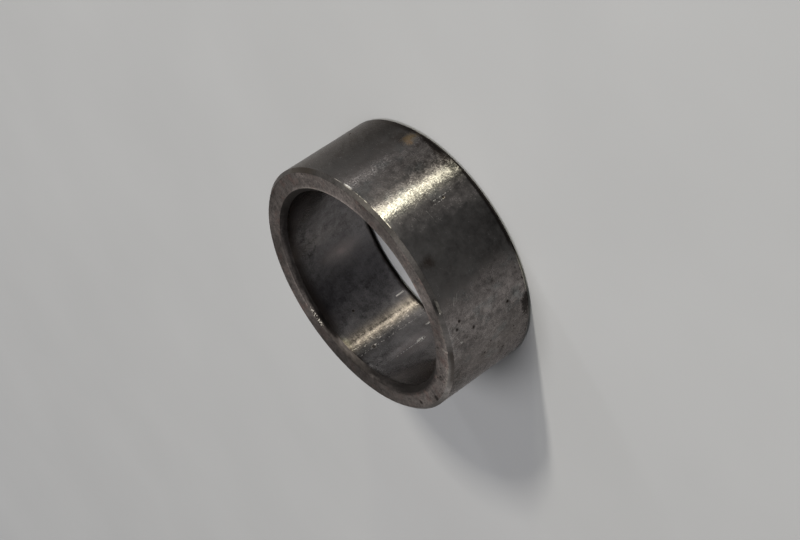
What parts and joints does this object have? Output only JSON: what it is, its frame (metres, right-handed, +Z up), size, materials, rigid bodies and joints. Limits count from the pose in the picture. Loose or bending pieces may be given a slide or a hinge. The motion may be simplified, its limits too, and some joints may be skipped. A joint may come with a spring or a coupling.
{
  "type": "spacer sleeve",
  "caption": "Short thin-walled steel spacer sleeve with a plain bore, chamfered ends, a struck and dented top rim and light rust.",
  "frame": {"origin": "centre of the bottom end face, on the axis of the bore", "axes": "+Z up along the bore, towards the struck rim; -Y is the side that the struck rim, the pits and the stains face"},
  "size_m": [0.052, 0.052, 0.02],
  "materials": {
    "worn_steel": "ground, darkened by a mottled patina, with rust spots and pits"
  },
  "bodies": {
    "root": {"spacer_sleeve": "worn_steel"}
  },
  "joints": []
}
